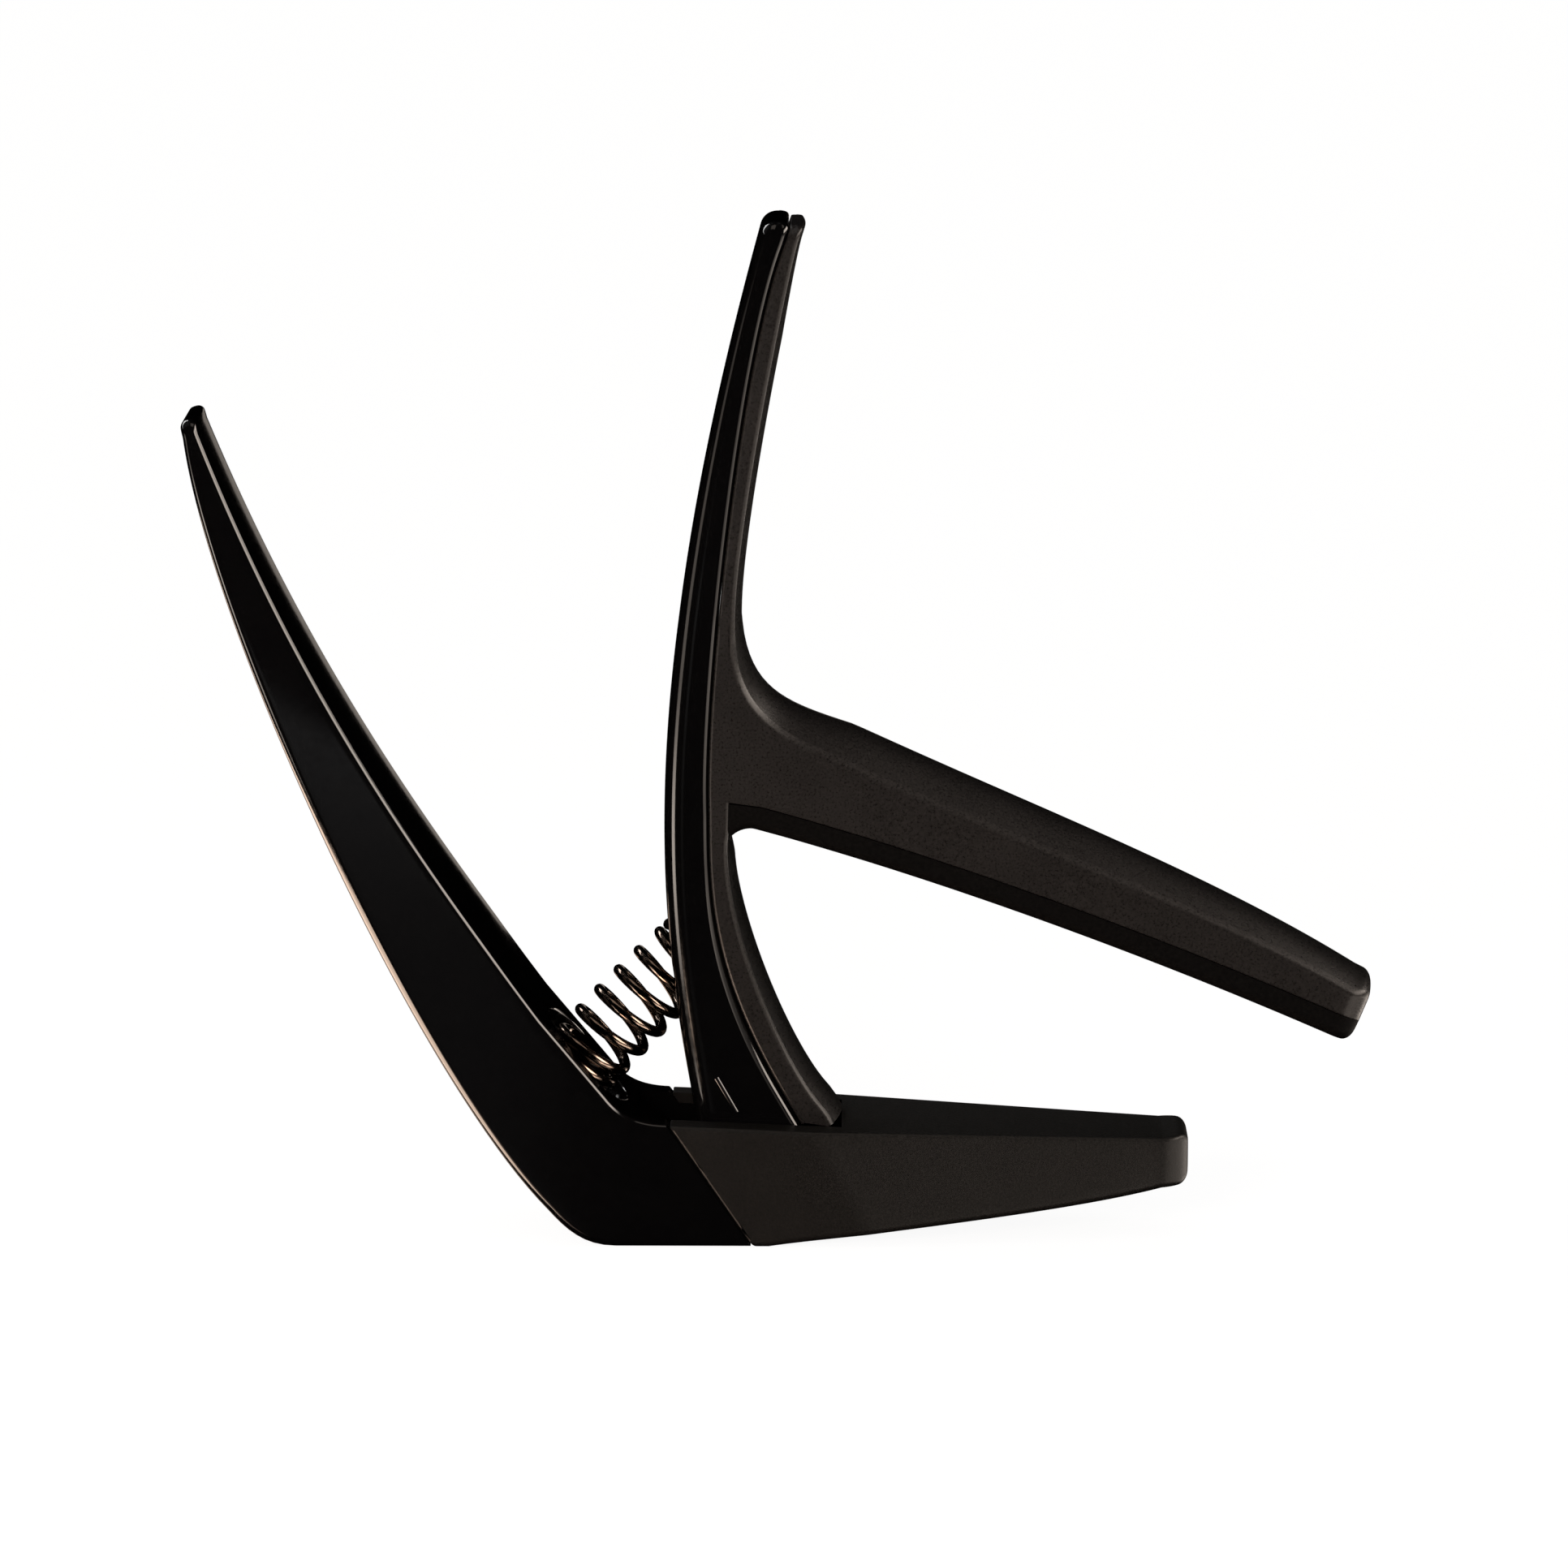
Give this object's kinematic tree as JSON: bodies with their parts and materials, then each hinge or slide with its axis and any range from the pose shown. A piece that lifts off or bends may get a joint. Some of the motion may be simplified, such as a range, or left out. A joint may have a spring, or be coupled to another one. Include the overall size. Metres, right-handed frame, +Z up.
{
  "type": "guitar capo",
  "caption": "Spring-loaded guitar capo: an L-shaped lower lever with a neck jaw, and a hinged upper lever with a padded string bar and a squeeze handle.",
  "frame": {"origin": "on the flat underside, straight below the pivot and midway across the width", "axes": "+X from the lower handle towards the jaws' tips, +Y across the capo, +Z up, away from the flat underside"},
  "size_m": [0.1041, 0.015, 0.0907],
  "materials": {
    "gloss_casting": "die-cast, gloss black lacquer",
    "grip_moulding": "fine-grained matte moulding, warm black",
    "pad_rubber": "matte black rubber",
    "pin_steel": "ground steel",
    "bush_brass": "turned brass",
    "washer_nylon": "natural nylon",
    "spring_steel": "black-oxide spring wire"
  },
  "bodies": {
    "base": {"base_lever": "gloss_casting", "jaw_sleeve": "grip_moulding", "pivot_pin": "pin_steel", "pivot_washer_near": "washer_nylon", "pivot_washer_far": "washer_nylon", "spring": "spring_steel"},
    "upper": {"upper_lever": "gloss_casting", "pivot_bush": "bush_brass", "bar_grip": "grip_moulding", "string_pad": "pad_rubber"}
  },
  "joints": [
    {"name": "squeeze", "type": "hinge", "parent": "base", "child": "upper", "pos_m": [0, 0, 0.0067], "axis": [0, -1, 0], "range_deg": [0, 20], "stiffness_Nm_per_rad": 2.06, "springref_deg": -25.78, "deforming": ["spring"]}
  ]
}
